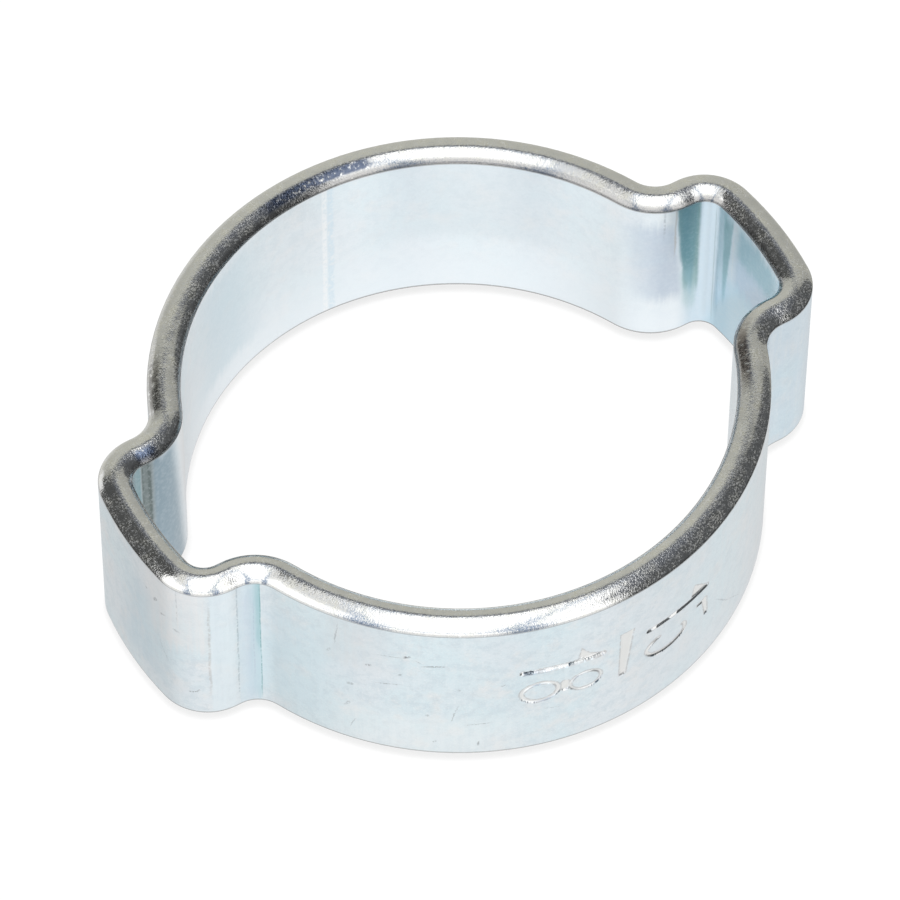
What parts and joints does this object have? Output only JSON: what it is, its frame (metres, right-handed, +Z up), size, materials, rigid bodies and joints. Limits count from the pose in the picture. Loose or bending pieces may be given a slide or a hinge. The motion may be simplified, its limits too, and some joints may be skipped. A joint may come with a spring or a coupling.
{
  "type": "ear hose clamp",
  "caption": "Steel hose clamp made as one closed band, with opposed hollow ears that are pinched to tighten it on a hose.",
  "frame": {"origin": "on the axis of the hose, level with the band's lower edge", "axes": "+Z up along the hose, +X and -X through the middles of the ears"},
  "size_m": [0.0248, 0.0202, 0.0072],
  "materials": {
    "zinc_plated_steel": "bright zinc plate, satin on the walls and glossy on the tumbled edges"
  },
  "bodies": {
    "root": {"clamp_band": "zinc_plated_steel"}
  },
  "joints": []
}
